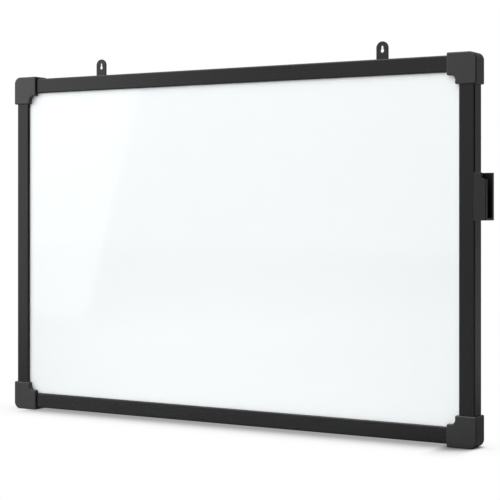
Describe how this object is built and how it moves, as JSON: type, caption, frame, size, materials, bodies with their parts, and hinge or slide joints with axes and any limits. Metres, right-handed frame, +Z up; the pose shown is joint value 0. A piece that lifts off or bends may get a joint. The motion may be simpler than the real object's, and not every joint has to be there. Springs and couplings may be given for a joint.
{
  "type": "magnetic memo board",
  "caption": "Wall-hung magnetic whiteboard: steel-faced panel in a black extruded frame with moulded corner caps, sliding hanging tabs with keyholes and a sliding marker clip.",
  "frame": {"origin": "midway between the centres of the two hanging holes' round ends, in the plane of the wall that the tabs and bumpers touch", "axes": "+X to the right seen from the front, +Y from the writing surface back to the wall, +Z up"},
  "size_m": [0.6162, 0.0239, 0.4237],
  "materials": {
    "white_enamel": "glossy white lacquer on steel sheet",
    "fibre_core": "raw fibreboard",
    "zinc_sheet": "dull zinc-coated steel sheet",
    "black_rail": "satin black coated aluminium extrusion",
    "black_moulding": "satin black moulded ABS",
    "black_tab": "satin black coated steel",
    "plated_screw": "zinc-plated steel",
    "bumper_rubber": "matt rubber"
  },
  "bodies": {
    "board": {"writing_surface": "white_enamel", "core_board": "fibre_core", "backing_sheet": "zinc_sheet", "rail_top": "black_rail", "rail_bottom": "black_rail", "rail_left": "black_rail", "rail_right": "black_rail", "corner_cap_top_left": "black_moulding", "corner_cap_top_right": "black_moulding", "corner_cap_bottom_left": "black_moulding", "corner_cap_bottom_right": "black_moulding", "corner_screws": "plated_screw", "wall_bumper_left": "bumper_rubber", "wall_bumper_right": "bumper_rubber"},
    "left_tab": {"hanging_tab_left": "black_tab", "tab_slider_left": "black_moulding", "tab_screw_left": "plated_screw"},
    "right_tab": {"hanging_tab_right": "black_tab", "tab_slider_right": "black_moulding", "tab_screw_right": "plated_screw"},
    "marker_clip": {"pen_clip": "black_moulding"}
  },
  "joints": [
    {"name": "left_tab_slide", "type": "slide", "parent": "board", "child": "left_tab", "axis": [1, 0, 0], "range_m": [-0.06, 0.179]},
    {"name": "right_tab_slide", "type": "slide", "parent": "board", "child": "right_tab", "axis": [1, 0, 0], "range_m": [-0.179, 0.06]},
    {"name": "marker_clip_slide", "type": "slide", "parent": "board", "child": "marker_clip", "axis": [0, 0, 1], "range_m": [-0.196, 0.0875]}
  ]
}
